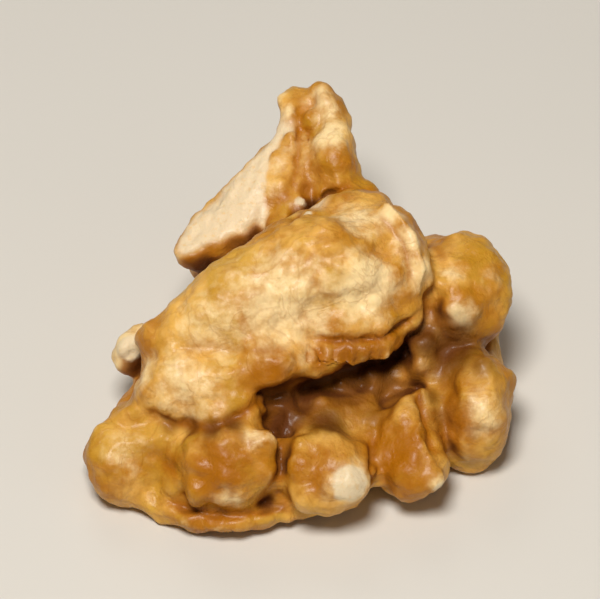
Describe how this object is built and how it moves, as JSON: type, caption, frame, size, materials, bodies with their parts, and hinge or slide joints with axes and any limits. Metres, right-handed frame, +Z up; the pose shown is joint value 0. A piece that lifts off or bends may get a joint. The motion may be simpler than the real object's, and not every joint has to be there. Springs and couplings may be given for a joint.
{
  "type": "walnut kernel",
  "caption": "Shelled walnut half lying on its inner face, with rounded folded lobes, deep furrows, a raised apex and a pale broken edge.",
  "frame": {"origin": "under the middle of the kernel's box, on the surface that it lies on", "axes": "+Z up from the inner face to the crest, +Y from the base to the apex, +X across the two lobes"},
  "size_m": [0.0248, 0.026, 0.0132],
  "materials": {
    "skin": "thin golden tan skin, slightly oily, amber in the furrows and cream where the flesh is broken"
  },
  "bodies": {
    "root": {"kernel": "skin"}
  },
  "joints": []
}
